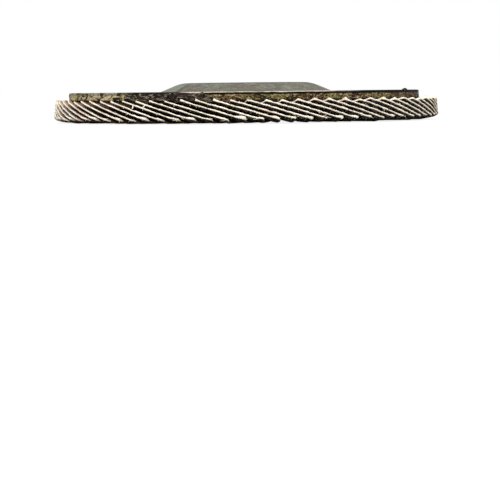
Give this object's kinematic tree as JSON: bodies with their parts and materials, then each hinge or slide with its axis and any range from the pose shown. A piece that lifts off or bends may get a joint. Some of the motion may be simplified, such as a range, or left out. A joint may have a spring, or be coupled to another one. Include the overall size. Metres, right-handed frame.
{
  "type": "flap disc",
  "caption": "Abrasive flap disc: overlapping coated cloth flaps bonded round a moulded glass-fibre backing plate with a raised hub and a steel-lined arbor hole.",
  "frame": {"origin": "on the spindle axis, at the level where the lowest flap tips touch", "axes": "+Z along the spindle axis, from the working face to the back; the free ends of the flaps point anticlockwise seen from +Z"},
  "size_m": [0.125, 0.125, 0.0124],
  "materials": {
    "plate_laminate": "moulded glass-fibre laminate, grey-brown, woven face",
    "ring_steel": "pressed and zinc plated",
    "adhesive_resin": "cured dark resin",
    "abrasive_cloth": "resin-coated cotton cloth with dark brown grit, pale frayed cut edges"
  },
  "bodies": {
    "root": {"backing_plate": "plate_laminate", "arbor_ring": "ring_steel", "adhesive_bed": "adhesive_resin", "flap_pair_01": "abrasive_cloth", "flap_pair_02": "abrasive_cloth", "flap_pair_03": "abrasive_cloth", "flap_pair_04": "abrasive_cloth", "flap_pair_05": "abrasive_cloth", "flap_pair_06": "abrasive_cloth", "flap_pair_07": "abrasive_cloth", "flap_pair_08": "abrasive_cloth", "flap_pair_09": "abrasive_cloth", "flap_pair_10": "abrasive_cloth", "flap_pair_11": "abrasive_cloth", "flap_pair_12": "abrasive_cloth", "flap_pair_13": "abrasive_cloth", "flap_pair_14": "abrasive_cloth", "flap_pair_15": "abrasive_cloth", "flap_pair_16": "abrasive_cloth", "flap_pair_17": "abrasive_cloth", "flap_pair_18": "abrasive_cloth", "flap_pair_19": "abrasive_cloth", "flap_pair_20": "abrasive_cloth", "flap_pair_21": "abrasive_cloth", "flap_pair_22": "abrasive_cloth", "flap_pair_23": "abrasive_cloth", "flap_pair_24": "abrasive_cloth", "flap_pair_25": "abrasive_cloth", "flap_pair_26": "abrasive_cloth", "flap_pair_27": "abrasive_cloth", "flap_pair_28": "abrasive_cloth", "flap_pair_29": "abrasive_cloth", "flap_pair_30": "abrasive_cloth", "flap_pair_31": "abrasive_cloth", "flap_pair_32": "abrasive_cloth", "flap_pair_33": "abrasive_cloth", "flap_pair_34": "abrasive_cloth", "flap_pair_35": "abrasive_cloth", "flap_pair_36": "abrasive_cloth", "flap_pair_37": "abrasive_cloth", "flap_pair_38": "abrasive_cloth", "flap_pair_39": "abrasive_cloth"}
  },
  "joints": []
}
